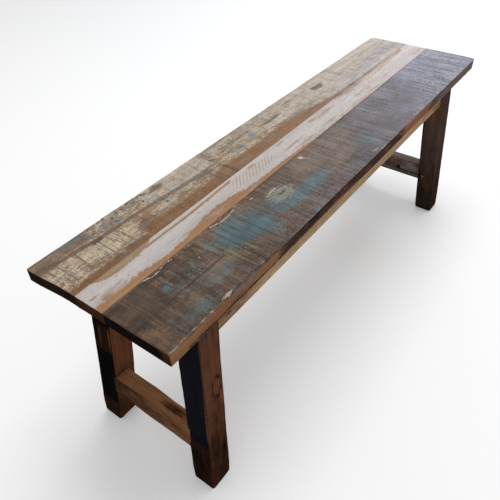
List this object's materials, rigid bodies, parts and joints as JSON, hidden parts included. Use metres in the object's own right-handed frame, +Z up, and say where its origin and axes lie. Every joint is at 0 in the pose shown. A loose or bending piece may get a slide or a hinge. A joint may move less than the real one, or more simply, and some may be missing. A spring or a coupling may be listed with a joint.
{
  "type": "backless plank bench",
  "caption": "Backless bench of reclaimed painted timber: a seat of planks on four splayed square legs, with aprons under the seat and a low stretcher at each end.",
  "frame": {"origin": "on the floor under the middle of the seat", "axes": "+X along the bench towards its right end, +Y across the bench from its front, the side of the wide dark board, to its back, +Z up"},
  "size_m": [1.2, 0.3082, 0.457],
  "materials": {
    "cream_painted_board": "worn cream paint over taupe timber, saw marks across the grain, blue flecks, satin",
    "white_painted_board": "worn grey-white paint over orange-brown timber, satin",
    "dark_painted_board": "dark grey-brown weathered timber with teal paint remains and fine saw marks, satin",
    "painted_leg": "dark brown timber with remains of blue-black paint, satin",
    "tan_timber": "light brown sawn timber, satin",
    "brown_timber": "mid brown timber, satin",
    "peg_timber": "end grain and long grain of brown hardwood, satin",
    "screw_steel": "plain steel, slightly dulled"
  },
  "bodies": {
    "root": {"seat_board_back": "cream_painted_board", "seat_board_middle": "white_painted_board", "seat_board_front": "dark_painted_board", "seat_tongue_front": "peg_timber", "seat_tongue_back": "peg_timber", "leg_left_front": "painted_leg", "leg_left_back": "painted_leg", "leg_right_front": "painted_leg", "leg_right_back": "painted_leg", "apron_front": "tan_timber", "apron_back": "tan_timber", "end_rail_left": "tan_timber", "seat_bearer_left": "tan_timber", "low_stretcher_left": "brown_timber", "end_rail_right": "tan_timber", "seat_bearer_right": "tan_timber", "low_stretcher_right": "brown_timber", "peg_apron_left_front": "peg_timber", "peg_apron_left_back": "peg_timber", "peg_apron_right_front": "peg_timber", "peg_apron_right_back": "peg_timber", "peg_end_rail_left_front": "peg_timber", "peg_end_rail_left_back": "peg_timber", "peg_end_rail_right_front": "peg_timber", "peg_end_rail_right_back": "peg_timber", "peg_stretcher_left_front": "peg_timber", "peg_stretcher_left_back": "peg_timber", "peg_stretcher_right_front": "peg_timber", "peg_stretcher_right_back": "peg_timber", "screw_apron_front_1": "screw_steel", "screw_apron_front_2": "screw_steel", "screw_apron_front_3": "screw_steel", "screw_apron_back_1": "screw_steel", "screw_apron_back_2": "screw_steel", "screw_apron_back_3": "screw_steel", "screw_end_rail_left_front": "screw_steel", "screw_end_rail_left_middle": "screw_steel", "screw_end_rail_left_back": "screw_steel", "screw_end_rail_right_front": "screw_steel", "screw_end_rail_right_middle": "screw_steel", "screw_end_rail_right_back": "screw_steel", "screw_bearer_left_front": "screw_steel", "screw_bearer_left_middle": "screw_steel", "screw_bearer_left_back": "screw_steel", "screw_bearer_right_front": "screw_steel", "screw_bearer_right_middle": "screw_steel", "screw_bearer_right_back": "screw_steel"}
  },
  "joints": []
}
